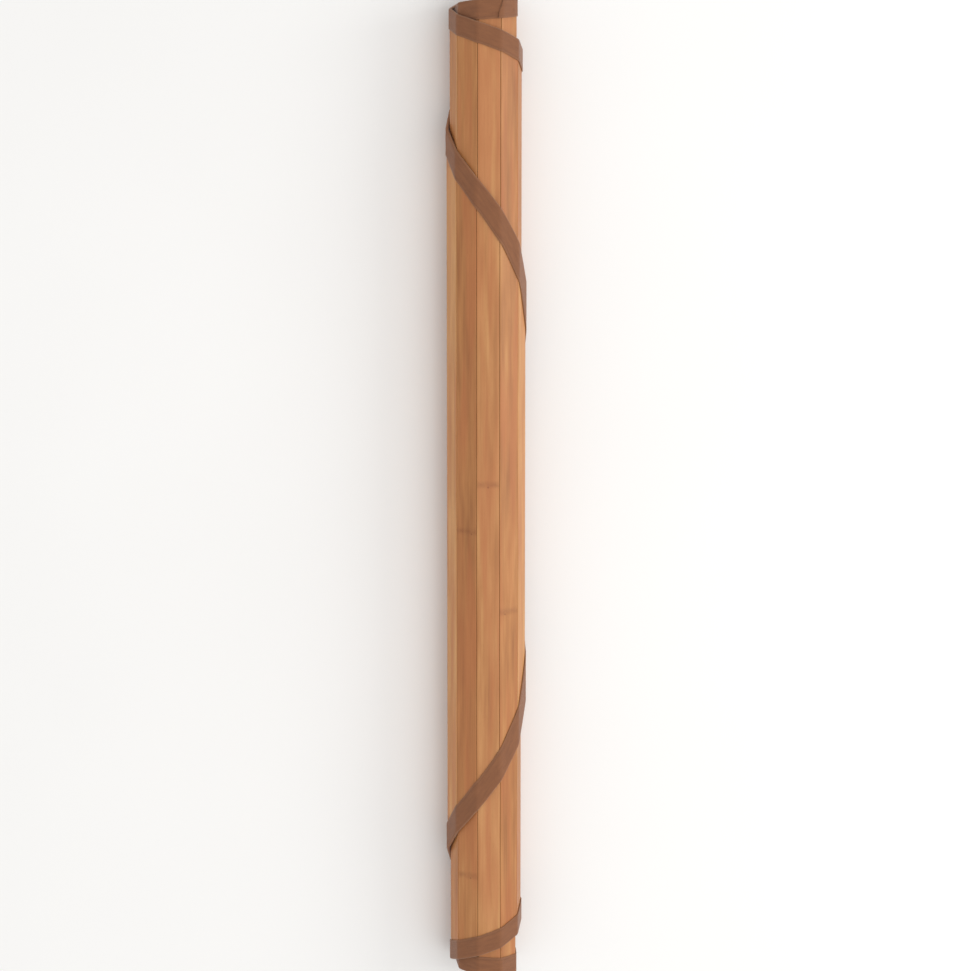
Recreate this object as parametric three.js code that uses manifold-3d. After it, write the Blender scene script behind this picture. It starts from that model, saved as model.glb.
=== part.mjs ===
// A round bamboo mat, rolled up and lying on its side.
// Millimetres, +Z up. The roll's axis lies along Y and the roll rests on Z = 0.
import * as THREE from 'three';
import { mergeVertices } from 'three/addons/utils/BufferGeometryUtils.js';
import Module from 'manifold-3d';

const wasm = await Module();
wasm.setup();

// The flat mat
const matRadius = 600;
const slatPitch = 27.4; // from one joint between slats to the next
const endStripWidth = 32.1; // the strip outside the first joint, at the loose end
const slatThickness = 1.3;
const slatBevel = 0.35; // on the slats' long edges and ends
const jointGap = 0.8; // between two slats, where the mat bends
const clothThickness = 1; // of the backing and of the binding
const bindingWidth = 24; // of the binding on each face of the mat
const clearance = 0.3; // between pieces, and between turns of the roll
const slatEndGap = 1; // from the slats' ends to the binding's folded edge
const backingEndGap = 1.5; // from the backing's edge to the binding's free edge

// The roll
const tipRadius = 49; // from the roll's centre to the mat's loose end
const firstTurnStrips = 10; // strips with no turn outside them
const firstTurnPitch = 5; // how far the first turn winds inwards
const restingStrip = 9; // the strip that lies flat on the floor

// Fineness
const rimStep = THREE.MathUtils.degToRad(7); // longest arc of the round edge drawn as one line
const turnStep = THREE.MathUtils.degToRad(0.05); // step of the search for the winding
const onLine = 0.001; // a point this close to a bend lies on it

// Levels through the mat's thickness, from the slats' inner face outwards
const backingOuter = -clearance;
const backingInner = backingOuter - clothThickness;
const bindingFaceInner = slatThickness + clearance;
const bindingFaceOuter = bindingFaceInner + clothThickness;

// Radii of the flat pieces
const foldRadius = matRadius - clothThickness; // inside the binding's folded edge
const slatRadius = foldRadius - slatEndGap;
const bareRadius = matRadius - bindingWidth; // inside the binding's two free edges
const backingRadius = bareRadius - backingEndGap;

const colours = { slat: 0xb97f55, backing: 0x6a4a31, binding: 0x84563f };

// Joints across the flat mat, from the loose end at +matRadius to the core at -matRadius
const joints = [matRadius];
for (let x = matRadius - endStripWidth; x > -matRadius; x -= slatPitch) joints.push(x);
joints.push(-matRadius);
const stripCount = joints.length - 1;

const stripWidth = (strip) => joints[strip] - joints[strip + 1];

const halfChord = (radius, x) => Math.sqrt(Math.max(radius ** 2 - x ** 2, 0));

// How far the mat reaches along the roll in a strip
function reach(strip) {
  const nearest = Math.min(Math.abs(joints[strip]), Math.abs(joints[strip + 1]));
  return halfChord(matRadius, joints[strip] * joints[strip + 1] < 0 ? 0 : nearest);
}

// Where the binding starts along the roll at a joint's two strips
function bindingStart(joint) {
  const farthest = Math.max(Math.abs(joints[joint - 1]), Math.abs(joints[joint + 1] ?? matRadius));
  return halfChord(bareRadius, farthest);
}

// Depth from an outer strip to a joint wound inside it
function turnSpacing(outerStrip, joint) {
  const mat = slatThickness + clearance - backingInner;
  return reach(outerStrip) > bindingStart(joint) ? mat + clearance + clothThickness : mat;
}

// The roll's section: each strip's ends and its outward normal, wound inwards from the loose end.
// A strip turns as little as the first turn's spiral and the strips outside it allow.
function windStrips() {
  const strips = [];
  let start = new THREE.Vector2(tipRadius, 0);
  let heading = Math.PI / 2;
  for (let strip = 0; strip < stripCount; strip++) {
    const outside = strips.slice(0, Math.max(strip - 2, 0));
    const fits = (place) => {
      const spiral = tipRadius - (firstTurnPitch * place.angle()) / (2 * Math.PI);
      if (strip < firstTurnStrips && place.length() > spiral) return false;
      return outside.every((outer, index) =>
        outer.start.clone().sub(place).dot(outer.normal) >= turnSpacing(index, strip + 1));
    };
    let end;
    do {
      heading += turnStep;
      end = new THREE.Vector2(stripWidth(strip), 0).rotateAround(new THREE.Vector2(), heading).add(start);
    } while (!fits(end));
    const along = end.clone().sub(start).normalize();
    strips.push({ start, end, along, normal: new THREE.Vector2(along.y, -along.x) });
    start = end;
  }
  return strips;
}

const strips = windStrips();

// Half of the bend at a joint, as a slope
function bendSlope(joint) {
  if (joint === 0 || joint === stripCount) return 0;
  const cosine = strips[joint - 1].along.dot(strips[joint].along);
  return Math.tan(Math.acos(Math.min(cosine, 1)) / 2);
}

// Where a point of the flat mat lies in the roll; its z is its level through the thickness
function wind({ x, y, z }) {
  const strip = joints.findIndex((joint) => joint < x) - 1;
  const { start, along, normal } = strips[strip];
  const inside = Math.max(backingOuter - z, 0); // the inner face is shortened at each bend
  const from = jointGap / 2 + inside * bendSlope(strip);
  const to = stripWidth(strip) - jointGap / 2 - inside * bendSlope(strip + 1);
  const share = (joints[strip] - x - jointGap / 2) / (stripWidth(strip) - jointGap);
  const place = start.clone().addScaledVector(along, THREE.MathUtils.lerp(from, to, share));
  place.addScaledVector(normal, z);
  return new THREE.Vector3(place.x, y, place.y);
}

// The part of a flat polygon on one side of the line at x
function clip(polygon, x, side) {
  const offset = (point) => (Math.abs(point.x - x) < onLine ? 0 : point.x - x);
  return polygon.flatMap((point, i) => {
    const next = polygon[(i + 1) % polygon.length];
    const kept = side * offset(point) >= 0 ? [point] : [];
    if (offset(point) * offset(next) >= 0) return kept;
    return [...kept, point.clone().lerp(next, (x - point.x) / (next.x - point.x))];
  });
}

// Bends a flat closed mesh into the roll, its faces cut where they cross a bend
function rollUp(flat) {
  const position = flat.getAttribute('position');
  const index = flat.getIndex().array;
  let faces = [];
  for (let i = 0; i < index.length; i += 3) {
    const corners = [...index.slice(i, i + 3)];
    faces.push(corners.map((corner) => new THREE.Vector3().fromBufferAttribute(position, corner)));
  }
  for (const joint of joints.slice(1, -1)) {
    for (const x of [joint + jointGap / 2, joint - jointGap / 2]) {
      faces = faces.flatMap((face) => [clip(face, x, 1), clip(face, x, -1)]);
      faces = faces.filter((face) => face.length > 2);
    }
  }
  const triangles = faces.flatMap((face) =>
    face.slice(2).flatMap((corner, i) => [face[0], face[i + 1], corner]));
  return new THREE.BufferGeometry().setFromPoints(triangles.map(wind));
}

// Points of a disc's round edge in a strip, on the side of +Y, from its outer joint to its inner one
function rimPoints(radius, strip) {
  const angleAt = (x) => Math.acos(THREE.MathUtils.clamp(x / radius, -1, 1));
  const first = Math.max(angleAt(joints[strip] - jointGap / 2), rimStep / 2);
  const last = Math.min(angleAt(joints[strip + 1] + jointGap / 2), Math.PI - rimStep / 2);
  if (last <= first) return [];
  const count = Math.ceil((last - first) / rimStep);
  return Array.from({ length: count + 1 }, (_, i) => {
    const angle = THREE.MathUtils.lerp(first, last, i / count);
    return new THREE.Vector2(radius * Math.cos(angle), radius * Math.sin(angle));
  });
}

// A flat disc of the mat between two levels, with its corners at the bends
function flatDisc(radius, inner, outer) {
  const rim = strips.flatMap((_, strip) => rimPoints(radius, strip)).reverse();
  const disc = new THREE.BoxGeometry(rim.length - 1, 2, 2, rim.length - 1, 1, 1);
  disc.translate((rim.length - 1) / 2, 0, 0);
  const position = disc.getAttribute('position');
  for (let i = 0; i < position.count; i++) {
    const { x, y } = rim[Math.round(position.getX(i))];
    position.setXYZ(i, x, y * Math.sign(position.getY(i)), position.getZ(i) > 0 ? outer : inner);
  }
  return disc;
}

function toSolid(geometry) {
  const bare = geometry.clone();
  bare.deleteAttribute('normal');
  bare.deleteAttribute('uv');
  const merged = mergeVertices(bare);
  return new wasm.Manifold(new wasm.Mesh({
    numProp: 3,
    vertProperties: merged.getAttribute('position').array,
    triVerts: new Uint32Array(merged.getIndex().array),
  }));
}

function toGeometry(solid) {
  const { vertProperties, triVerts } = solid.getMesh();
  const geometry = new THREE.BufferGeometry();
  geometry.setAttribute('position', new THREE.BufferAttribute(vertProperties, 3));
  geometry.setIndex(new THREE.BufferAttribute(triVerts, 1));
  return geometry;
}

function addMesh(name, geometry, colour, roughness) {
  const facets = geometry.index ? geometry.toNonIndexed() : geometry;
  facets.computeVertexNormals();
  const material = new THREE.MeshStandardMaterial({ color: colour, roughness, metalness: 0 });
  const mesh = new THREE.Mesh(facets, material);
  mesh.name = name;
  roll.add(mesh);
  return mesh;
}

// A slat: a flat strip of the disc with round ends, laid on its strip of the roll
function addSlat(strip) {
  const middle = (joints[strip] + joints[strip + 1]) / 2;
  const rim = rimPoints(slatRadius, strip);
  const outline = [
    ...rim.map(({ x, y }) => new THREE.Vector2(x - middle, y)),
    ...rim.reverse().map(({ x, y }) => new THREE.Vector2(x - middle, -y)),
  ];
  const geometry = new THREE.ExtrudeGeometry(new THREE.Shape(outline), {
    depth: slatThickness - 2 * slatBevel,
    bevelThickness: slatBevel,
    bevelSize: slatBevel,
    bevelOffset: -slatBevel,
    bevelSegments: 1,
  });
  geometry.translate(0, 0, slatBevel);
  const slat = addMesh(`slat_${String(strip + 1).padStart(2, '0')}`, geometry, colours.slat, 0.42);
  const { start, end, normal } = strips[strip];
  const centre = start.clone().lerp(end, 0.5);
  slat.position.set(centre.x, 0, centre.y);
  slat.rotation.y = Math.atan2(normal.x, normal.y);
}

// The cloth that the slats are glued to
function addBacking() {
  addMesh('backing', rollUp(flatDisc(backingRadius, backingInner, backingOuter)), colours.backing, 0.95);
}

// The tape folded over the whole round edge, on both faces of the mat
function addBinding() {
  const folded = toSolid(flatDisc(matRadius, backingInner, bindingFaceOuter));
  const slatSpace = toSolid(flatDisc(foldRadius, backingOuter, bindingFaceInner));
  const openMiddle = toSolid(flatDisc(bareRadius, backingInner - clearance, bindingFaceOuter + clearance));
  const tape = toGeometry(folded.subtract(slatSpace).subtract(openMiddle));
  addMesh('binding', rollUp(tape), colours.binding, 0.8);
}

const roll = new THREE.Group();
strips.forEach((_, strip) => addSlat(strip));
addBacking();
addBinding();

// The resting strip faces straight down
const { normal: restNormal } = strips[restingStrip];
roll.rotation.y = restNormal.angle() + Math.PI / 2;

const group = new THREE.Group();
group.add(roll);
const bounds = new THREE.Box3().setFromObject(group, true);
const centre = bounds.getCenter(new THREE.Vector3());
roll.position.set(-centre.x, -centre.y, -bounds.min.z);

export default group;
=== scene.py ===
"""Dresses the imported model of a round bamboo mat, which is rolled up and lies on its side.

The roll's axis lies along Y and the floor is at Z = 0. All sizes are in metres.
"""

import logging
import math
import random
from dataclasses import dataclass, field, replace
from enum import Enum
from typing import Any

import bmesh
import bpy
from mathutils import Matrix, Vector, noise


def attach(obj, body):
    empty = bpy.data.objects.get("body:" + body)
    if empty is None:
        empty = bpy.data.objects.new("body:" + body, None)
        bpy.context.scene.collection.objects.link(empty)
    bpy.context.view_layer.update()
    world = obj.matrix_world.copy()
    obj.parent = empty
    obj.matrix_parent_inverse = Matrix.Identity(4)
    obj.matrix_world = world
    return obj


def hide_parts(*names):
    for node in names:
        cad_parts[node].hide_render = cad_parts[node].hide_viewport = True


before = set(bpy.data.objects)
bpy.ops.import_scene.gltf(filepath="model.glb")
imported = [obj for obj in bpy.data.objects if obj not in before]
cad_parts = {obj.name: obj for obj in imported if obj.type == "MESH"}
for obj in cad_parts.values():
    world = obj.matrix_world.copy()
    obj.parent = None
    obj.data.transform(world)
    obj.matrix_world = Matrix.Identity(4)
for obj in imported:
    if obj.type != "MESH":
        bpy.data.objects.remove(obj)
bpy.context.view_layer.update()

logging.basicConfig(level=logging.INFO, format="%(message)s")
log = logging.getLogger("mat")

MILLIMETRE = 0.001


class Axis(Enum):
    """The flat mat's two directions."""

    ACROSS_SLATS = (1.0, 0.0, 0.0)
    ALONG_SLATS = (0.0, 1.0, 0.0)


class Slot(Enum):
    """The record's material slots."""

    BAMBOO = "bamboo"
    BACKING = "backing"
    BINDING = "binding"


def linear(code: str) -> tuple[float, float, float, float]:
    """Turns an sRGB colour into a linear one.

    Args:
        code: The colour as six hex digits.

    Returns:
        The linear colour with an alpha of 1.
    """
    parts = [int(code[i : i + 2], 16) / 255 for i in (0, 2, 4)]
    red, green, blue = (
        part / 12.92 if part <= 0.04045 else ((part + 0.055) / 1.055) ** 2.4 for part in parts
    )
    return red, green, blue, 1.0


def smooth(value: float) -> float:
    """Eases a share in and out.

    Args:
        value: The share, which is first kept between 0 and 1.

    Returns:
        The eased share.
    """
    share = min(max(value, 0.0), 1.0)
    return share * share * (3 - 2 * share)


def add_node(
    tree: bpy.types.NodeTree,
    kind: str,
    settings: dict[str, Any] | None = None,
    inputs: dict[Any, Any] | None = None,
) -> bpy.types.Node:
    """Adds a node with its settings and links.

    Args:
        tree: The material's node tree.
        kind: The node's type.
        settings: Values of the node's own properties.
        inputs: For each input, by name or number, its value or the output that it is linked to.

    Returns:
        The new node.
    """
    node = tree.nodes.new(kind)
    for name, value in (settings or {}).items():
        setattr(node, name, value)
    for key, value in (inputs or {}).items():
        if isinstance(value, bpy.types.NodeSocket):
            tree.links.new(value, node.inputs[key])
        else:
            node.inputs[key].default_value = value
    return node


def new_material(name: str) -> tuple[bpy.types.Material, bpy.types.NodeTree]:
    """Makes a material with an empty node tree.

    Args:
        name: The finish's name.

    Returns:
        The material and its node tree.
    """
    material = bpy.data.materials.new(name)
    material.use_nodes = True
    material.node_tree.nodes.clear()
    return material, material.node_tree


def add_piece(
    name: str, mesh: bpy.types.Mesh, material: bpy.types.Material
) -> bpy.types.Object:
    """Puts a finished mesh in the scene as a piece of the mat.

    Args:
        name: The piece's name.
        mesh: Its mesh, in place.
        material: Its finish.

    Returns:
        The piece.
    """
    piece = bpy.data.objects.new(name, mesh)
    bpy.context.scene.collection.objects.link(piece)
    mesh.materials.clear()
    mesh.materials.append(material)
    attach(piece, "root")
    log.info("%s: %d faces", name, len(mesh.polygons))
    return piece


def cut_through(cloth: bmesh.types.BMesh, place: float, axis: Axis) -> None:
    """Cuts a flat cloth's faces along a line.

    Args:
        cloth: The cloth.
        place: Where the line crosses the axis.
        axis: The axis, to which the line is square.
    """
    direction = Vector(axis.value)
    everything = cloth.verts[:] + cloth.edges[:] + cloth.faces[:]
    bmesh.ops.bisect_plane(cloth, geom=everything, plane_co=direction * place, plane_no=direction)


@dataclass(frozen=True)
class LacqueredBamboo:
    """Flat-milled, steamed bamboo under a satin lacquer.

    Steaming turns it caramel brown. Its fibres show as fine streaks along the slat, its nodes as
    soft darker bands across it, each with a small bud scar, and the lacquer gives a soft sheen.
    """

    light: str = "CC955D"
    middle: str = "B27744"
    dark: str = "90592E"
    rosy: str = "B46B3E"
    node: str = "7A4324"
    streak_width: float = 2.6 * MILLIMETRE
    streak_length: float = 160 * MILLIMETRE
    streak_share: float = 0.20
    cloud_width: float = 11 * MILLIMETRE
    cloud_length: float = 120 * MILLIMETRE
    cloud_share: float = 0.45
    pore_width: float = 0.5 * MILLIMETRE
    pore_length: float = 9 * MILLIMETRE
    pore_share: float = 0.22
    blush_width: float = 14 * MILLIMETRE
    blush_length: float = 220 * MILLIMETRE
    blush_share: float = 0.5
    band_patch: float = 6 * MILLIMETRE
    band_reach: float = 6.5 * MILLIMETRE
    band_share: float = 0.55
    bud_inner: float = 0.4 * MILLIMETRE
    bud_outer: float = 1.3 * MILLIMETRE
    bud_below: float = 3.2 * MILLIMETRE  # from a node's band to its bud scar
    bud_share: float = 0.6
    grain_depth: float = 0.06 * MILLIMETRE

    def pattern(
        self, tree: bpy.types.NodeTree, width: float, length: float, detail: float
    ) -> bpy.types.NodeSocket:
        """Adds a noise that is drawn out along the grain.

        Args:
            tree: The material's node tree.
            width: The pattern's size across the grain.
            length: The pattern's size along the grain.
            detail: The noise's detail.

        Returns:
            The noise's factor.
        """
        grain = add_node(tree, "ShaderNodeAttribute", {"attribute_name": "grain"})
        scaled = add_node(
            tree,
            "ShaderNodeMapping",
            inputs={"Vector": grain.outputs["Vector"], "Scale": (1 / width, 1 / length, 1.0)},
        )
        drawn = add_node(
            tree,
            "ShaderNodeTexNoise",
            inputs={"Vector": scaled.outputs["Vector"], "Scale": 1.0, "Detail": detail, "Roughness": 0.6},
        )
        return drawn.outputs["Fac"]

    def node_marks(self, tree: bpy.types.NodeTree) -> bpy.types.NodeSocket:
        """Adds the soft bands of the bamboo's nodes, and their bud scars.

        Args:
            tree: The material's node tree.

        Returns:
            How much of the nodes' colour shows.
        """
        knot = add_node(tree, "ShaderNodeAttribute", {"attribute_name": "knot"})
        parts = add_node(tree, "ShaderNodeSeparateXYZ", inputs={"Vector": knot.outputs["Vector"]})
        away = add_node(tree, "ShaderNodeMath", {"operation": "ABSOLUTE"}, {0: parts.outputs["Y"]})
        band = add_node(
            tree,
            "ShaderNodeMapRange",
            {"interpolation_type": "SMOOTHSTEP"},
            {
                "Value": away.outputs[0],
                "From Max": self.band_reach,
                "To Min": self.band_share,
                "To Max": 0.0,
            },
        )
        uneven = add_node(
            tree,
            "ShaderNodeMath",
            {"operation": "MULTIPLY"},
            {0: band.outputs[0], 1: self.pattern(tree, self.band_patch, self.band_patch, 1.0)},
        )
        from_bud = add_node(
            tree,
            "ShaderNodeVectorMath",
            {"operation": "DISTANCE"},
            {0: knot.outputs["Vector"], 1: (0.0, -self.bud_below, 0.0)},
        )
        bud = add_node(
            tree,
            "ShaderNodeMapRange",
            inputs={
                "Value": from_bud.outputs["Value"],
                "From Min": self.bud_inner,
                "From Max": self.bud_outer,
                "To Min": self.bud_share,
                "To Max": 0.0,
            },
        )
        marks = add_node(
            tree,
            "ShaderNodeMath",
            {"operation": "ADD", "use_clamp": True},
            {0: uneven.outputs[0], 1: bud.outputs[0]},
        )
        return marks.outputs[0]

    def colour(self, tree: bpy.types.NodeTree, streaks: bpy.types.NodeSocket) -> bpy.types.NodeSocket:
        """Adds the slat's colour, from its tone, streaks, clouds, rosy patches, pores and nodes; the tone
        also holds a painted highlight on the eased edges and a painted reflection on two slats.

        Args:
            tree: The material's node tree.
            streaks: The fibres' streaks.

        Returns:
            The colour.
        """
        # The tone holds each slat's own tone, plus a painted highlight on its eased edges and sides and,
        # on slats 3 and 7, a painted reflection.
        tone = add_node(tree, "ShaderNodeAttribute", {"attribute_name": "tone"})
        streaked = add_node(
            tree,
            "ShaderNodeMath",
            {"operation": "MULTIPLY_ADD"},
            {0: streaks, 1: self.streak_share, 2: tone.outputs["Fac"]},
        )
        clouds = self.pattern(tree, self.cloud_width, self.cloud_length, 2.0)
        shade = add_node(
            tree,
            "ShaderNodeMath",
            {"operation": "MULTIPLY_ADD"},
            {0: clouds, 1: self.cloud_share, 2: streaked.outputs[0]},
        )
        ramp = add_node(tree, "ShaderNodeValToRGB", inputs={"Fac": shade.outputs[0]})
        ramp.color_ramp.elements[0].position = 0.12
        ramp.color_ramp.elements[0].color = linear(self.dark)
        ramp.color_ramp.elements[1].position = 0.53
        ramp.color_ramp.elements[1].color = linear(self.light)
        ramp.color_ramp.elements.new(0.325).color = linear(self.middle)
        blush = add_node(
            tree,
            "ShaderNodeMapRange",
            inputs={
                "Value": self.pattern(tree, self.blush_width, self.blush_length, 1.0),
                "From Min": 0.42,
                "From Max": 0.62,
                "To Max": self.blush_share,
            },
        )
        warmed = add_node(
            tree,
            "ShaderNodeMix",
            {"data_type": "RGBA"},
            {"Factor": blush.outputs[0], "A": ramp.outputs["Color"], "B": linear(self.rosy)},
        )
        pores = add_node(
            tree,
            "ShaderNodeMapRange",
            inputs={
                "Value": self.pattern(tree, self.pore_width, self.pore_length, 2.0),
                "From Min": 0.30,
                "From Max": 0.42,
                "To Min": self.pore_share,
                "To Max": 0.0,
            },
        )
        pored = add_node(
            tree,
            "ShaderNodeMix",
            {"data_type": "RGBA"},
            {"Factor": pores.outputs[0], "A": warmed.outputs["Result"], "B": linear(self.dark)},
        )
        marked = add_node(
            tree,
            "ShaderNodeMix",
            {"data_type": "RGBA"},
            {"Factor": self.node_marks(tree), "A": pored.outputs["Result"], "B": linear(self.node)},
        )
        return marked.outputs["Result"]

    def build(self) -> bpy.types.Material:
        """Makes the material.

        Returns:
            The material.
        """
        material, tree = new_material("lacquered_bamboo")
        streaks = self.pattern(tree, self.streak_width, self.streak_length, 3.0)
        rough = add_node(
            tree,
            "ShaderNodeMapRange",
            inputs={"Value": streaks, "To Min": 0.44, "To Max": 0.6},
        )
        relief = add_node(
            tree,
            "ShaderNodeBump",
            inputs={"Strength": 0.5, "Distance": self.grain_depth, "Height": streaks},
        )
        surface = add_node(
            tree,
            "ShaderNodeBsdfPrincipled",
            inputs={
                "Base Color": self.colour(tree, streaks),
                "Roughness": rough.outputs[0],
                "IOR": 1.5,
                "Specular IOR Level": 0.38,
                "Coat Weight": 0.08,
                "Coat Roughness": 0.3,
                "Normal": relief.outputs["Normal"],
            },
        )
        add_node(tree, "ShaderNodeOutputMaterial", inputs={"Surface": surface.outputs[0]})
        return material


@dataclass(frozen=True)
class WovenTape:
    """Brown cotton binding tape in a close plain weave.

    The weave scatters light, so it is matt. Its folds are a little paler as a painted highlight, its
    selvedges paler from wear and a painted highlight, and the low places of its weave and seam are painted
    darker as painted shade.
    """

    ground: str = "92603F"
    # The colour of the paler folds, a painted highlight, and of the paler selvedges, from wear and a
    # painted highlight.
    paled_edge: str = "A07657"
    # Laid where the weave and the seam's dent lie low, as painted shade, and on the slubs' darker patches,
    # which are the yarn's own colour.
    deep: str = "744A32"
    thread: float = 1.1 * MILLIMETRE  # twice the real spacing, which is too fine to show
    slub_length: float = 22 * MILLIMETRE
    slub_width: float = 4 * MILLIMETRE
    seam_inset: float = 2.6 * MILLIMETRE
    seam_reach: float = 0.9 * MILLIMETRE  # about twice the real dent, which is too fine to show
    seam_depth: float = 1.1  # to the weave's height; it also paints the dent darker, as painted shadow
    stitch: float = 3.2 * MILLIMETRE
    weave_depth: float = 0.12 * MILLIMETRE

    def seam(self, tree: bpy.types.NodeTree, along: bpy.types.NodeSocket) -> bpy.types.NodeSocket:
        """Adds the sewn line near the tape's free edges.

        Args:
            tree: The material's node tree.
            along: The place along the tape.

        Returns:
            How deep the seam is, from 0 to 1; the depth also sets the dent's painted shadow.
        """
        edge = add_node(tree, "ShaderNodeAttribute", {"attribute_name": "edge"})
        off = add_node(
            tree,
            "ShaderNodeMath",
            {"operation": "SUBTRACT"},
            {0: edge.outputs["Fac"], 1: self.seam_inset},
        )
        away = add_node(tree, "ShaderNodeMath", {"operation": "ABSOLUTE"}, {0: off.outputs[0]})
        dent = add_node(
            tree,
            "ShaderNodeMapRange",
            inputs={"Value": away.outputs[0], "From Max": self.seam_reach, "To Min": 1.0, "To Max": 0.0},
        )
        phase = add_node(
            tree,
            "ShaderNodeMath",
            {"operation": "MULTIPLY"},
            {0: along, 1: 2 * math.pi / self.stitch},
        )
        wave = add_node(tree, "ShaderNodeMath", {"operation": "SINE"}, {0: phase.outputs[0]})
        dash = add_node(
            tree,
            "ShaderNodeMapRange",
            inputs={"Value": wave.outputs[0], "From Min": -0.4, "From Max": 0.2, "To Min": 0.55},
        )
        depth = add_node(
            tree,
            "ShaderNodeMath",
            {"operation": "MULTIPLY"},
            {0: dent.outputs[0], 1: dash.outputs[0]},
        )
        return depth.outputs[0]

    def threads(
        self, tree: bpy.types.NodeTree, along: bpy.types.NodeSocket, across: bpy.types.NodeSocket
    ) -> bpy.types.NodeSocket:
        """Adds the plain weave's threads, which pass over and under each other.

        Args:
            tree: The material's node tree.
            along: The place along the tape.
            across: The place across the tape.

        Returns:
            How high the threads stand, from -1 to 1; their low places are painted darker as painted shade.
        """
        waves = []
        for place in (along, across):
            turned = add_node(
                tree,
                "ShaderNodeMath",
                {"operation": "MULTIPLY"},
                {0: place, 1: 2 * math.pi / self.thread},
            )
            waves.append(add_node(tree, "ShaderNodeMath", {"operation": "SINE"}, {0: turned.outputs[0]}))
        woven = add_node(
            tree,
            "ShaderNodeMath",
            {"operation": "MULTIPLY"},
            {0: waves[0].outputs[0], 1: waves[1].outputs[0]},
        )
        return woven.outputs[0]

    def build(self) -> bpy.types.Material:
        """Makes the material.

        Returns:
            The material.
        """
        material, tree = new_material("woven_cotton_tape")
        tape = add_node(tree, "ShaderNodeAttribute", {"attribute_name": "tape"})
        parts = add_node(tree, "ShaderNodeSeparateXYZ", inputs={"Vector": tape.outputs["Vector"]})
        scaled = add_node(
            tree,
            "ShaderNodeMapping",
            inputs={
                "Vector": tape.outputs["Vector"],
                "Scale": (1 / self.slub_length, 1 / self.slub_width, 1.0),
            },
        )
        slub = add_node(
            tree,
            "ShaderNodeTexNoise",
            inputs={
                "Vector": scaled.outputs["Vector"],
                "Scale": 1.0,
                "Detail": 4.0,
                "Roughness": 0.65,
            },
        )
        cloth_height = add_node(
            tree,
            "ShaderNodeMath",
            {"operation": "MULTIPLY_ADD"},
            {
                0: slub.outputs["Fac"],
                1: 2.6,
                2: self.threads(tree, parts.outputs["X"], parts.outputs["Y"]),
            },
        )
        height = add_node(
            tree,
            "ShaderNodeMath",
            {"operation": "MULTIPLY_ADD"},
            {
                0: self.seam(tree, parts.outputs["X"]),
                1: -self.seam_depth,
                2: cloth_height.outputs[0],
            },
        )
        # The cloth is painted darker where it lies low: painted shade in the weave and in the seam's dent,
        # and the yarn's own colour in the slubs.
        shade = add_node(
            tree,
            "ShaderNodeMapRange",
            inputs={"Value": height.outputs[0], "From Min": 0.3, "From Max": 2.3},
        )
        cloth = add_node(
            tree,
            "ShaderNodeMix",
            {"data_type": "RGBA"},
            {"Factor": shade.outputs[0], "A": linear(self.deep), "B": linear(self.ground)},
        )
        # Folds are painted paler as a painted highlight, and selvedges paler from wear and a painted
        # highlight.
        colour = add_node(
            tree,
            "ShaderNodeMix",
            {"data_type": "RGBA"},
            {"Factor": parts.outputs["Z"], "A": cloth.outputs["Result"], "B": linear(self.paled_edge)},
        )
        relief = add_node(
            tree,
            "ShaderNodeBump",
            inputs={"Strength": 0.5, "Distance": self.weave_depth, "Height": height.outputs[0]},
        )
        surface = add_node(
            tree,
            "ShaderNodeBsdfPrincipled",
            inputs={
                "Base Color": colour.outputs["Result"],
                "Roughness": 0.82,
                "Specular IOR Level": 0.35,
                "Sheen Weight": 0.25,
                "Sheen Roughness": 0.4,
                "Normal": relief.outputs["Normal"],
            },
        )
        add_node(tree, "ShaderNodeOutputMaterial", inputs={"Surface": surface.outputs[0]})
        return material


@dataclass(frozen=True)
class NeedledFelt:
    """Thin dark-brown needled felt, whose short fibres give a matt, mottled face."""

    dark: str = "7C573A"
    light: str = "9C7550"
    tuft: float = 3 * MILLIMETRE
    nap: float = 0.3 * MILLIMETRE

    def build(self) -> bpy.types.Material:
        """Makes the material.

        Returns:
            The material.
        """
        material, tree = new_material("needled_felt")
        place = add_node(tree, "ShaderNodeTexCoord")
        fibres = add_node(
            tree,
            "ShaderNodeTexNoise",
            inputs={
                "Vector": place.outputs["Object"],
                "Scale": 1 / self.tuft,
                "Detail": 5.0,
                "Roughness": 0.7,
                "Distortion": 1.5,
            },
        )
        colour = add_node(
            tree,
            "ShaderNodeMix",
            {"data_type": "RGBA"},
            {"Factor": fibres.outputs["Fac"], "A": linear(self.dark), "B": linear(self.light)},
        )
        relief = add_node(
            tree,
            "ShaderNodeBump",
            inputs={"Strength": 0.8, "Distance": self.nap, "Height": fibres.outputs["Fac"]},
        )
        surface = add_node(
            tree,
            "ShaderNodeBsdfPrincipled",
            inputs={
                "Base Color": colour.outputs["Result"],
                "Roughness": 0.95,
                "Specular IOR Level": 0.2,
                "Sheen Weight": 0.3,
                "Normal": relief.outputs["Normal"],
            },
        )
        add_node(tree, "ShaderNodeOutputMaterial", inputs={"Surface": surface.outputs[0]})
        return material


@dataclass(frozen=True)
class MattPaper:
    """Seamless matt backdrop paper, pale and without pattern but for a slight mottle."""

    pale: str = "F6F5F3"
    shade: str = "F1F0EE"
    mottle: float = 400 * MILLIMETRE

    def build(self) -> bpy.types.Material:
        """Makes the material.

        Returns:
            The material.
        """
        material, tree = new_material("matt_paper")
        place = add_node(tree, "ShaderNodeTexCoord")
        cloud = add_node(
            tree,
            "ShaderNodeTexNoise",
            inputs={"Vector": place.outputs["Object"], "Scale": 1 / self.mottle},
        )
        colour = add_node(
            tree,
            "ShaderNodeMix",
            {"data_type": "RGBA"},
            {"Factor": cloud.outputs["Fac"], "A": linear(self.shade), "B": linear(self.pale)},
        )
        surface = add_node(
            tree,
            "ShaderNodeBsdfPrincipled",
            inputs={"Base Color": colour.outputs["Result"], "Roughness": 0.9, "Specular IOR Level": 0.1},
        )
        add_node(tree, "ShaderNodeOutputMaterial", inputs={"Surface": surface.outputs[0]})
        return material


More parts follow.
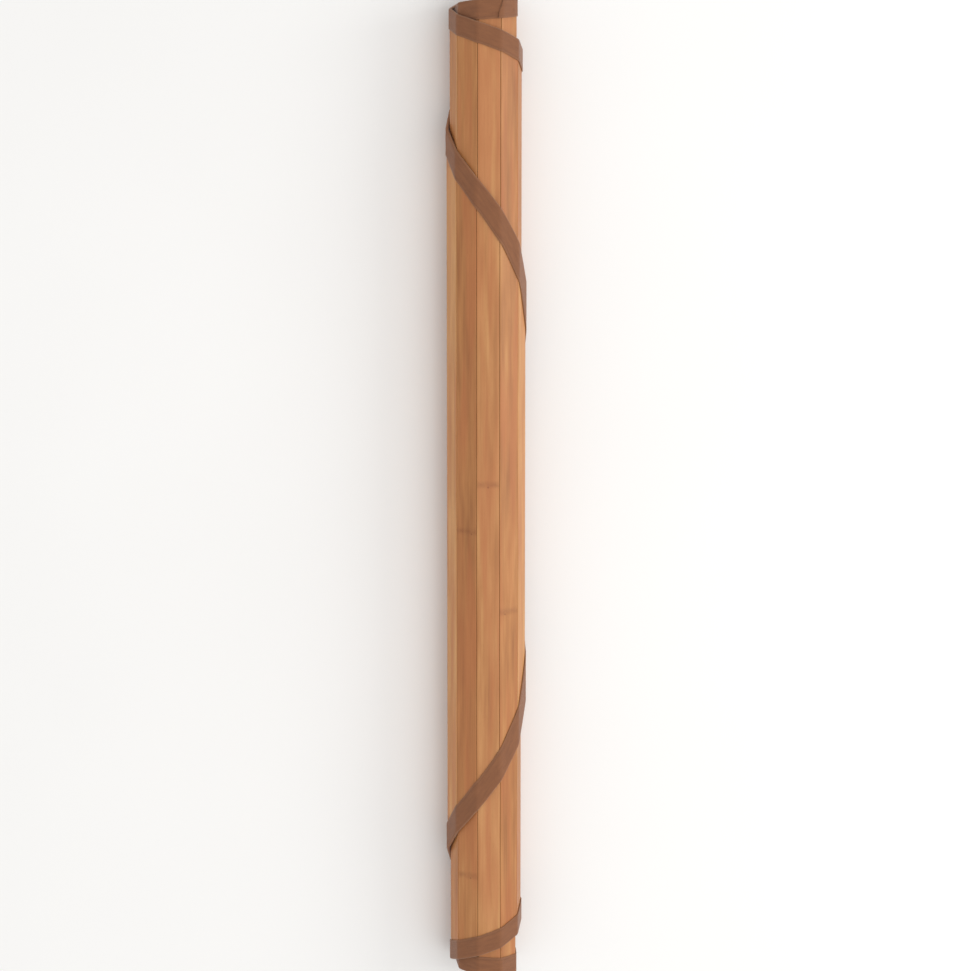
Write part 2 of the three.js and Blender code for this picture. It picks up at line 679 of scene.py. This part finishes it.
@dataclass(frozen=True)
class Strip:
    """The part of the mat between two bends, which carries one slat.

    Its start is on the bend nearer the loose end, at the level of the slat's inner face.
    """

    outer_x: float
    inner_x: float
    start: Vector
    along: Vector

    @property
    def width(self) -> float:
        """The distance between the strip's two bends."""
        return self.outer_x - self.inner_x

    @property
    def normal(self) -> Vector:
        """The direction out of the roll."""
        return Vector((self.along.z, 0.0, -self.along.x))

    def place(self, distance: float, y: float, level: float) -> Vector:
        """Finds a point of the strip in the roll.

        Args:
            distance: How far the point is from the strip's start.
            y: The point's place along the roll.
            level: How far it is outside the slats' inner face.

        Returns:
            The point.
        """
        point = self.start + self.along * distance + self.normal * level
        return Vector((point.x, y, point.z))


@dataclass
class Mat:
    """The mat's sizes when flat, and how its strips are wound."""

    radius: float = 600 * MILLIMETRE
    end_strip: float = 32.1 * MILLIMETRE
    pitch: float = 27.4 * MILLIMETRE
    slat_thickness: float = 1.3 * MILLIMETRE
    cloth_thickness: float = 1.0 * MILLIMETRE
    binding_width: float = 24 * MILLIMETRE
    clearance: float = 0.3 * MILLIMETRE
    bend: float = 2.2 * MILLIMETRE  # the cloth's bend reaches this far to both sides of a joint
    bend_steps: int = 6
    strips: list[Strip] = field(default_factory=list)

    @property
    def joints(self) -> list[float]:
        """The joints' places across the flat mat.

        Returns:
            The places, from the loose end to the core, with both ends.
        """
        joints = [self.radius, self.radius - self.end_strip]
        while joints[-1] - self.pitch > -self.radius:
            joints.append(joints[-1] - self.pitch)
        return [*joints, -self.radius]

    def find_slat(self, number: int) -> tuple[Vector, Vector]:
        """Finds how a slat of the model lies in the roll's section.

        Args:
            number: The slat's number, from the loose end.

        Returns:
            Its section's centre, and the direction of its width.
        """
        points = [vertex.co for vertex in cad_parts[f"slat_{number:02d}"].data.vertices]
        mean = sum(points, Vector()) / len(points)
        spread_x = sum((point.x - mean.x) ** 2 for point in points)
        spread_z = sum((point.z - mean.z) ** 2 for point in points)
        joined = sum((point.x - mean.x) * (point.z - mean.z) for point in points)
        angle = math.atan2(2 * joined, spread_x - spread_z) / 2
        along = Vector((math.cos(angle), 0.0, math.sin(angle)))
        centre = Vector()
        for axis in (along, Vector((along.z, 0.0, -along.x))):
            reach = [axis.dot(point) for point in points]
            centre += axis * (min(reach) + max(reach)) / 2
        return centre, along

    def read_winding(self) -> None:
        """Finds each strip's place in the roll from the slat that lies on it."""
        joints = self.joints
        slats = [self.find_slat(number) for number in range(1, len(joints))]
        for index, (centre, along) in enumerate(slats):
            before, after = slats[max(index - 1, 0)][0], slats[max(index, 1)][0]
            along = along if along.dot(after - before) > 0 else -along
            strip = Strip(joints[index], joints[index + 1], centre, along)
            start = centre - along * strip.width / 2 - strip.normal * self.slat_thickness / 2
            self.strips.append(replace(strip, start=start))
        # The first and last slats stop short of the mat's edge, so their neighbours place their strips
        first, before_last = self.strips[0], self.strips[-2]
        self.strips[0] = replace(first, start=self.strips[1].start - first.along * first.width)
        end = before_last.start + before_last.along * before_last.width
        self.strips[-1] = replace(self.strips[-1], start=end)

    def bend_lines(self) -> list[float]:
        """Lists the lines across the flat mat at which cloth is creased."""
        steps = [self.bend * (2 * i / self.bend_steps - 1) for i in range(self.bend_steps + 1)]
        return [joint + step for joint in self.joints[1:-1] for step in steps]

    def shortening(self, joint: int, level: float) -> float:
        """Finds how far from a joint a strip's flat part starts at a level.

        Args:
            joint: The joint's number, from the loose end.
            level: The level through the mat's thickness.

        Returns:
            The distance from the joint.
        """
        if joint in (0, len(self.strips)):
            return self.bend
        cosine = self.strips[joint - 1].along.dot(self.strips[joint].along)
        return self.bend + max(-level, 0.0) * math.tan(math.acos(min(cosine, 1.0)) / 2)

    def wind(self, x: float, y: float, level: float) -> Vector:
        """Finds where a point of the flat cloth lies in the roll.

        Args:
            x: Its place across the flat mat, towards the loose end.
            y: Its place along the roll.
            level: How far it is outside the slats' inner face.

        Returns:
            The point in the roll.
        """
        index = next((i for i, strip in enumerate(self.strips) if x > strip.inner_x), len(self.strips) - 1)
        strip = self.strips[index]
        joint = index if strip.outer_x - x < self.bend else index + 1
        if 0 < joint < len(self.strips) and abs(self.strips[joint].outer_x - x) < self.bend:
            before, after = self.strips[joint - 1], self.strips[joint]
            cut = self.shortening(joint, level)
            corner = after.start + (before.normal + after.normal) * (
                level / (1 + before.normal.dot(after.normal))
            )
            share = (after.outer_x + self.bend - x) / (2 * self.bend)
            first = before.place(before.width - cut, y, level)
            last = after.place(cut, y, level)
            middle = Vector((corner.x, y, corner.z))
            return first.lerp(middle, share).lerp(middle.lerp(last, share), share)
        start = self.shortening(index, level)
        end = strip.width - self.shortening(index + 1, level)
        share = (strip.outer_x - x - self.bend) / (strip.width - 2 * self.bend)
        return strip.place(start + (end - start) * share, y, level)

    def roll_up(self, cloth: bmesh.types.BMesh, name: str) -> bpy.types.Mesh:
        """Creases a flat cloth at the joints and winds it.

        Args:
            cloth: The flat cloth, which is used up.
            name: The new mesh's name.

        Returns:
            The wound cloth's mesh.
        """
        for x in self.bend_lines():
            cut_through(cloth, x, Axis.ACROSS_SLATS)
        for vertex in cloth.verts:
            vertex.co = self.wind(*vertex.co)
        bmesh.ops.recalc_face_normals(cloth, faces=cloth.faces[:])
        mesh = bpy.data.meshes.new(name)
        cloth.to_mesh(mesh)
        cloth.free()
        mesh.shade_smooth()
        return mesh


@dataclass(frozen=True)
class SlatPlan:
    """One slat's own sizes and variation."""

    strip: Strip
    outer_x: float  # the slat's long edge nearer the mat's loose end
    inner_x: float  # and its other long edge
    nodes: list[tuple[float, float]]  # across and along the slat
    rings: list[float]
    # the slat's tone: its own, but paler on slats 3 and 7 as a painted reflection
    tone: float
    offset: float  # moves the grain's pattern, so that no two slats match
    warp: float  # how far one long edge stands up

    @property
    def middle(self) -> float:
        """The place of the slat's middle line across the flat mat."""
        return (self.outer_x + self.inner_x) / 2


@dataclass
class Slats:
    """The flat bamboo slats, each on its own strip of the roll."""

    mat: Mat
    material: bpy.types.Material
    joint_gap: float = 0.2 * MILLIMETRE
    bevel: float = 0.4 * MILLIMETRE
    crown: float = 0.12 * MILLIMETRE
    end_gap: float = 1.3 * MILLIMETRE  # from a slat's end to the binding's folded edge
    rings: int = 49
    columns: int = 8
    node_spacing: float = 460 * MILLIMETRE
    node_spread: float = 0.15  # of the spacing
    node_margin: float = 30 * MILLIMETRE  # no node is nearer a slat's end
    node_height: float = 0.10 * MILLIMETRE
    node_reach: float = 5 * MILLIMETRE
    node_rings: tuple[int, ...] = (-8, -4, -2, -1, 0, 1, 2, 4, 8)  # in millimetres from a node
    bud_spread: float = 0.3  # of a slat's width, to both sides of its middle
    warp: float = 0.08 * MILLIMETRE
    grain_range: float = 40.0  # the metres of grain that the slats are cut from
    tone_spread: float = 0.07
    edge_highlight: float = 0.10  # the eased edges and sides are painted a little paler, as a painted highlight where they catch the light
    edge_share: float = 0.985  # the painted highlight on an eased edge starts this far out, as a share of half the width
    shortest_end: float = 36 * MILLIMETRE  # half the length of the shortest long edge
    # Slats 3 and 7, seen edge-on at the roll's sides, are made paler as a painted reflection; the other
    # tones are the slats' own.
    known_tones_and_painted_reflection: dict[int, float] = field(
        default_factory=lambda: {3: 0.12, 4: -0.02, 5: 0.02, 6: -0.06, 7: 0.12}
    )
    known_nodes: dict[int, list[tuple[float, float]]] = field(
        default_factory=lambda: {
            3: [(0.004, -0.285)],
            4: [(-0.006, -0.140)],
            5: [(0.0, 0.0165)],
            6: [(0.007, -0.0410)],
            7: [(-0.004, -0.405), (0.003, 0.400)],
            13: [(0.002, -0.210), (-0.006, 0.240)],
            14: [(0.005, -0.250), (0.001, 0.190)],
            15: [(-0.005, -0.180), (0.004, 0.270)],
            16: [(0.004, -0.470), (-0.002, 0.020)],
            17: [(0.003, -0.230), (-0.003, 0.220)],
        }
    )

    @property
    def end_radius(self) -> float:
        """The distance from the flat mat's middle to the slats' ends."""
        return self.mat.radius - self.mat.cloth_thickness - self.end_gap

    def template(self) -> bpy.types.Mesh:
        """Models one slat of unit width and length, with rings along it and eased edges.

        Returns:
            The slat's mesh, 1 wide along X and 1 long along Y, at its real thickness.
        """
        bpy.ops.object.select_all(action="DESELECT")
        bpy.ops.mesh.primitive_cube_add(size=1)
        slat = bpy.context.active_object
        slat.scale = (self.mat.pitch, 1.0, self.mat.slat_thickness)
        bpy.ops.object.transform_apply(location=False, rotation=False, scale=True)
        bpy.ops.object.mode_set(mode="EDIT")
        for number in range(1, self.columns):
            bpy.ops.mesh.select_all(action="SELECT")
            x = self.mat.pitch * (number / self.columns - 0.5)
            bpy.ops.mesh.bisect(plane_co=(x, 0, 0), plane_no=(1, 0, 0))
        for number in range(1, self.rings - 1):
            bpy.ops.mesh.select_all(action="SELECT")
            y = number / (self.rings - 1) - 0.5
            bpy.ops.mesh.bisect(plane_co=(0, y, 0), plane_no=(0, 1, 0))
        bpy.ops.mesh.select_all(action="DESELECT")
        bpy.ops.object.mode_set(mode="OBJECT")
        normals = {}
        for face in slat.data.polygons:
            for key in face.edge_keys:
                normals.setdefault(key, []).append(face.normal.copy())
        for edge in slat.data.edges:
            first, second = normals[edge.key]
            edge.select = first.dot(second) < 0.5
        bpy.ops.object.mode_set(mode="EDIT")
        bpy.ops.mesh.select_mode(type="EDGE")
        bpy.ops.mesh.bevel(offset=self.bevel, segments=3, affect="EDGES")
        bpy.ops.object.mode_set(mode="OBJECT")
        mesh = slat.data.copy()
        bpy.data.objects.remove(slat)
        return mesh

    def node_places(self, number: int, half: float, chance: random.Random) -> list[tuple[float, float]]:
        """Chooses where a slat's bamboo nodes are.

        Args:
            number: The slat's number, from the loose end.
            half: Half of the slat's length.
            chance: The source of the slat's own variation.

        Returns:
            For each node, where its bud scar is across the slat, and where it is along the slat.
        """
        if number in self.known_nodes:
            return self.known_nodes[number]
        first = chance.uniform(-0.5, 0.5) * self.node_spacing
        places = [first]
        for side in (-1, 1):
            place = first
            while abs(place) < half:
                share = chance.uniform(1 - self.node_spread, 1 + self.node_spread)
                place += side * self.node_spacing * share
                places.append(place)
        kept = [place for place in sorted(places) if abs(place) < half - self.node_margin]
        bud = self.bud_spread * self.mat.pitch
        return [(chance.uniform(-bud, bud), place) for place in kept]

    def ring_places(self, half: float, nodes: list[tuple[float, float]]) -> list[float]:
        """Spaces a slat's rings, close together at its nodes.

        Args:
            half: Half of the slat's length.
            nodes: The nodes' places across and along the slat.

        Returns:
            One place for each of the template's rings, in order.
        """
        places = [-half, half]
        for _, node in nodes:
            places += [node + MILLIMETRE * step for step in self.node_rings]
        while len(places) < self.rings:
            places.sort()
            gaps = [after - before for before, after in zip(places, places[1:])]
            widest = gaps.index(max(gaps))
            places.append((places[widest] + places[widest + 1]) / 2)
        return sorted(places)

    def plan(self, index: int) -> SlatPlan:
        """Chooses one slat's length, nodes and variation.

        Args:
            index: The strip that the slat lies on.

        Returns:
            The slat's plan.
        """
        strip = self.mat.strips[index]
        number = index + 1
        chance = random.Random(number)
        nearest = min(abs(strip.outer_x), abs(strip.inner_x))
        half = math.sqrt(self.end_radius**2 - nearest**2)
        nodes = self.node_places(number, half, chance)
        spread = chance.uniform(-1, 1) * self.tone_spread
        limit = math.sqrt(self.end_radius**2 - self.shortest_end**2)
        return SlatPlan(
            strip=strip,
            outer_x=min(strip.outer_x - self.joint_gap / 2, limit),
            inner_x=max(strip.inner_x + self.joint_gap / 2, -limit),
            nodes=nodes,
            rings=self.ring_places(half, nodes),
            tone=self.known_tones_and_painted_reflection.get(number, spread),
            offset=chance.uniform(0, self.grain_range),
            warp=chance.uniform(-self.warp, self.warp),
        )

    def flat_place(self, point: Vector, plan: SlatPlan) -> tuple[float, float]:
        """Finds where a point of the template lies on the flat slat.

        Args:
            point: The point of the template.
            plan: The slat's plan.

        Returns:
            Its place across the slat, from the slat's middle, and along it.
        """
        eased = self.mat.pitch / 2 - self.bevel
        across = max(min(point.x / eased, 1), -1)
        x = point.x + (plan.outer_x - plan.inner_x - self.mat.pitch) / 2 * across
        end = math.sqrt(self.end_radius**2 - (plan.middle + x) ** 2)
        from_end = 0.5 - abs(point.y)
        if from_end < 1.5 * self.bevel:
            return x, math.copysign(end - from_end, point.y)
        step = (point.y + 0.5) * (self.rings - 1)
        low = min(int(step), self.rings - 2)
        place = plan.rings[low] + (plan.rings[low + 1] - plan.rings[low]) * (step - low)
        return x, max(min(place, end - MILLIMETRE), MILLIMETRE - end)

    def shape(self, template: bpy.types.Mesh, plan: SlatPlan) -> bpy.types.Mesh:
        """Gives a copy of the template one slat's length, round ends, nodes and place.

        Args:
            template: The slat's template.
            plan: The slat's plan.

        Returns:
            The slat's mesh, in place.
        """
        mesh = template.copy()
        for name, kind in (("grain", "FLOAT_VECTOR"), ("knot", "FLOAT_VECTOR"), ("tone", "FLOAT")):
            mesh.attributes.new(name, kind, "POINT")
        grain, knot, tone = (mesh.attributes[name].data for name in ("grain", "knot", "tone"))
        for vertex in mesh.vertices:
            height = vertex.co.z
            across = vertex.co.x / self.mat.pitch * 2
            x, place = self.flat_place(vertex.co, plan)
            bud, node = min(plan.nodes, key=lambda known: abs(place - known[1]), default=(0.0, 1.0))
            level = height + self.mat.slat_thickness / 2
            if height > 0:
                level += plan.warp * across - self.crown * across * across
                level += self.node_height * smooth(1 - abs(place - node) / self.node_reach)
            vertex.co = plan.strip.place(plan.strip.outer_x - plan.middle - x, place, level)
            grain[vertex.index].vector = (x + plan.offset, place + plan.offset * 3, height / 2)
            knot[vertex.index].vector = (x - bud, place - node, 0.0)
            # The eased edges and sides get a painted highlight, added to the slat's tone.
            paled_edge = self.edge_highlight if abs(across) > self.edge_share else 0.0
            tone[vertex.index].value = plan.tone + paled_edge
        return mesh

    def build(self) -> list[bpy.types.Object]:
        """Models all the slats.

        Returns:
            The slats.
        """
        template = self.template()
        pieces: list[bpy.types.Object] = []
        for index in range(len(self.mat.strips)):
            name = f"slat_{index + 1:02d}"
            mesh = self.shape(template, self.plan(index))
            piece = add_piece(f"bamboo_{name}", mesh, self.material)
            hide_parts(name)
            bpy.ops.object.select_all(action="DESELECT")
            piece.select_set(True)
            bpy.context.view_layer.objects.active = piece
            bpy.ops.object.shade_smooth_by_angle(angle=math.radians(30))
            pieces.append(piece)
        bpy.data.meshes.remove(template)
        return pieces


@dataclass
class Backing:
    """The felt that the slats are glued to."""

    mat: Mat
    material: bpy.types.Material
    edge_gap: float = 1.5 * MILLIMETRE  # from its edge to the binding's free edge
    edge_steps: int = 180
    rows: int = 30

    @property
    def radius(self) -> float:
        """The felt's radius when flat."""
        return self.mat.radius - self.mat.binding_width - self.edge_gap

    def build(self) -> bpy.types.Object:
        """Cuts the felt flat, creases it at the joints and winds it.

        Returns:
            The backing.
        """
        felt = bmesh.new()
        outer = -self.mat.clearance
        inner = outer - self.mat.cloth_thickness
        bmesh.ops.create_circle(
            felt,
            cap_ends=True,
            radius=self.radius,
            segments=self.edge_steps,
            matrix=Matrix.Translation((0, 0, inner)),
        )
        raised = bmesh.ops.extrude_face_region(felt, geom=felt.faces[:])
        bmesh.ops.translate(
            felt,
            verts=[item for item in raised["geom"] if isinstance(item, bmesh.types.BMVert)],
            vec=(0, 0, outer - inner),
        )
        for row in range(1, self.rows):
            cut_through(felt, self.radius * (2 * row / self.rows - 1), Axis.ALONG_SLATS)
        mesh = self.mat.roll_up(felt, "felt_backing")
        piece = add_piece("felt_backing", mesh, self.material)
        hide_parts("backing")
        2 * self.radius
        2 * self.radius
        math.pi * self.radius**2
        return piece


@dataclass
class Binding:
    """The tape that is folded over the mat's whole edge, its ends lapped."""

    mat: Mat
    material: bpy.types.Material
    step: float = 14 * MILLIMETRE
    lap_step: float = 2 * MILLIMETRE
    lap: float = 26 * MILLIMETRE
    lap_rise: float = 9 * MILLIMETRE  # the length over which the upper end climbs onto the lower
    lap_place: float = math.radians(91.4)
    lap_stand: float = 1.15  # how far the upper end stands off the lower, to the cloth's thickness
    lap_slant: float = 0.3  # how far the upper end is cut aslant, to its width
    waviness: float = 0.9 * MILLIMETRE
    wave: float = 45 * MILLIMETRE
    edge_round: float = 0.18 * MILLIMETRE
    fold_steps: int = 8
    leg_steps: int = 6
    selvedge: float = 2.2 * MILLIMETRE
    # The selvedges are paler from wear and a painted highlight, the folds from a painted highlight alone.
    selvedge_wear_and_highlight: float = 0.22
    fold_highlight: float = 0.5
    fold_width: float = 3 * MILLIMETRE  # of the flat tape, over the mat's edge

    @property
    def rim(self) -> float:
        """The length of the mat's edge."""
        return 2 * math.pi * self.mat.radius

    @property
    def length(self) -> float:
        """The tape's length."""
        return self.rim + self.lap

    def section(self, raised: float, waved: float) -> list[tuple[float, float, float]]:
        """Draws the folded tape's section, from its free edge on the outer face and back.

        Args:
            raised: How far the tape stands off its usual place.
            waved: How far its free edges wander towards the mat's middle.

        Returns:
            The radius, level and place across the tape of each point of a closed outline.
        """
        half = self.mat.cloth_thickness / 2
        outer = self.mat.slat_thickness + self.mat.clearance + half + raised
        inner = -self.mat.clearance - half - raised
        free = self.mat.radius - self.mat.binding_width - waved
        bow = (outer - inner) / 2
        middle = (outer + inner) / 2
        turn = self.mat.radius - half + raised - bow
        path = []
        for number in range(self.leg_steps + 1):
            path.append((free + (turn - free) * number / self.leg_steps, outer, 0.0, 1.0))
        for number in range(1, self.fold_steps):
            angle = math.pi / 2 - math.pi * number / self.fold_steps
            out, up = math.cos(angle), math.sin(angle)
            path.append((turn + bow * out, middle + bow * up, out, up))
        for number in range(self.leg_steps + 1):
            path.append((turn + (free - turn) * number / self.leg_steps, inner, 0.0, -1.0))
        outline = []
        for sign in (1, -1):
            side = []
            across = 0.0
            for number, (radius, level, out, up) in enumerate(path):
                if number:
                    across += math.dist((radius, level), path[number - 1][:2])
                at_edge = number in (0, len(path) - 1)
                inset = half - (self.edge_round if at_edge else 0.0)
                side.append((radius + sign * inset * out, level + sign * inset * up, across))
                if at_edge:
                    near = (radius + self.edge_round, level + sign * half * up, across)
                    side.insert(len(side) if number == 0 else len(side) - 1, near)
            outline += side if sign > 0 else side[::-1]
        return outline

    def places(self) -> list[float]:
        """Spaces the tape's sections, close together at the lap.

        Returns:
            Each section's distance along the tape.
        """
        places, arc = [], 0.0
        while arc < self.length:
            places.append(arc)
            near_lap = arc > self.rim - 2 * self.lap_rise
            arc += self.lap_step if near_lap else self.step
        return [*places, self.length]

    def add_section(self, tape: bmesh.types.BMesh, arc: float) -> list[bmesh.types.BMVert]:
        """Adds one section to the flat tape, with its wear and painted highlight.

        Args:
            tape: The flat tape.
            arc: The section's distance along the tape.

        Returns:
            The section's points, round its outline.
        """
        place_layer = tape.verts.layers.float_vector["tape"]
        edge_layer = tape.verts.layers.float["edge"]
        climbed = smooth((arc - self.rim + self.lap_rise) / self.lap_rise)
        waved = self.waviness * noise.noise(Vector((arc / self.wave, 0.0, 0.0)))
        outline = self.section(self.lap_stand * self.mat.cloth_thickness * climbed, waved)
        slant = self.lap_slant * smooth((arc - self.rim) / self.lap)
        longest = max(across for _, _, across in outline)
        points = []
        for radius, level, across in outline:
            angle = self.lap_place + (arc - slant * across) / self.mat.radius
            point = tape.verts.new((radius * math.cos(angle), radius * math.sin(angle), level))
            from_edge = min(across, longest - across)
            from_fold = abs(across - longest / 2)
            # Selvedges are paled from wear and a painted highlight, folds as a painted highlight.
            paled_edge = self.selvedge_wear_and_highlight * smooth(1 - from_edge / self.selvedge)
            paled_edge += self.fold_highlight * smooth(1 - from_fold / self.selvedge)
            point[place_layer] = (arc, across, paled_edge)
            point[edge_layer] = from_edge
            points.append(point)
        return points

    def build(self) -> bpy.types.Object:
        """Sews the tape round the flat mat and winds it with the mat.

        Returns:
            The binding.
        """
        tape = bmesh.new()
        tape.verts.layers.float_vector.new("tape")
        tape.verts.layers.float.new("edge")
        sections = [self.add_section(tape, arc) for arc in self.places()]
        for before, after in zip(sections, sections[1:]):
            for number, first in enumerate(before):
                follows = (number + 1) % len(before)
                tape.faces.new((first, before[follows], after[follows], after[number]))
        tape.faces.new(sections[0])
        tape.faces.new(sections[-1][::-1])
        mesh = self.mat.roll_up(tape, "edge_tape")
        piece = add_piece("edge_tape", mesh, self.material)
        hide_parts("binding")
        self.length
        return piece


@dataclass(frozen=True)
class SoftLight:
    """A square soft light that faces the roll."""

    name: str
    place: tuple[float, float, float]
    size: float
    power: float

    def build(self, target: Vector) -> None:
        """Hangs the light.

        Args:
            target: The point that it faces.
        """
        data = bpy.data.lights.new(self.name, "AREA")
        data.shape = "SQUARE"
        data.size = self.size
        data.energy = self.power
        light = bpy.data.objects.new(self.name, data)
        light.location = self.place
        light.rotation_euler = (target - light.location).to_track_quat("-Z", "Y").to_euler()
        bpy.context.scene.collection.objects.link(light)


@dataclass
class Studio:
    """The camera, the lights and the floor."""

    paper: bpy.types.Material
    axis: Vector = field(default_factory=lambda: Vector((-0.00087, 0.0, 0.04483)))
    lean: float = math.radians(8.95)  # of the camera's side-to-side line, about Y
    distance: float = 4.0713
    along: float = 0.6027
    tilt: float = math.radians(8.34)
    lens: float = 125.0
    sensor: float = 36.0
    shift: float = 0.0028
    floor_size: float = 30.0
    daylight: float = 0.80
    key: SoftLight = SoftLight("key", (3.0, 0.5, 1.5), 2.0, 38.0)
    overhead: SoftLight = SoftLight("overhead", (0.9, -0.6, 3.4), 2.6, 28.0)

    def add_camera(self) -> None:
        """Places the camera at the photograph's viewing angle."""
        data = bpy.data.cameras.new("camera")
        data.sensor_fit = "VERTICAL"
        data.sensor_height = self.sensor
        data.lens = self.lens
        data.shift_y = self.shift
        camera = bpy.data.objects.new("camera", data)
        right = Vector((math.cos(self.lean), 0.0, math.sin(self.lean)))
        towards = Vector((-math.sin(self.lean), 0.0, math.cos(self.lean)))
        along = Vector((0.0, 1.0, 0.0))
        place = self.axis + along * self.along + towards * self.distance
        up = along * math.cos(self.tilt) - towards * math.sin(self.tilt)
        back = along * math.sin(self.tilt) + towards * math.cos(self.tilt)
        camera.matrix_world = Matrix.Translation(place) @ Matrix((right, up, back)).transposed().to_4x4()
        bpy.context.scene.collection.objects.link(camera)
        bpy.context.scene.camera = camera

    def add_floor(self) -> None:
        """Lays a wide flat sheet of paper."""
        bpy.ops.object.select_all(action="DESELECT")
        bpy.ops.mesh.primitive_plane_add(size=self.floor_size)
        floor = bpy.context.active_object
        floor.name = "paper_floor"
        floor.data.materials.append(self.paper)

    def build(self) -> None:
        """Sets up the camera, the lights and the floor."""
        self.add_camera()
        self.add_floor()
        self.key.build(self.axis)
        self.overhead.build(self.axis)
        world = bpy.data.worlds.new("soft_daylight")
        world.use_nodes = True
        background = world.node_tree.nodes["Background"]
        background.inputs["Color"].default_value = linear("FFFFFF")
        background.inputs["Strength"].default_value = self.daylight
        bpy.context.scene.world = world
        bpy.context.scene.view_settings.view_transform = "Standard"


def main() -> None:
    """Builds the mat and its studio, and reports each piece."""
    mat = Mat()
    mat.read_winding()
    Slats(mat, LacqueredBamboo().build()).build()
    Backing(mat, NeedledFelt().build()).build()
    Binding(mat, WovenTape().build()).build()
    Studio(MattPaper().build()).build()


if __name__ == "__main__":
    main()
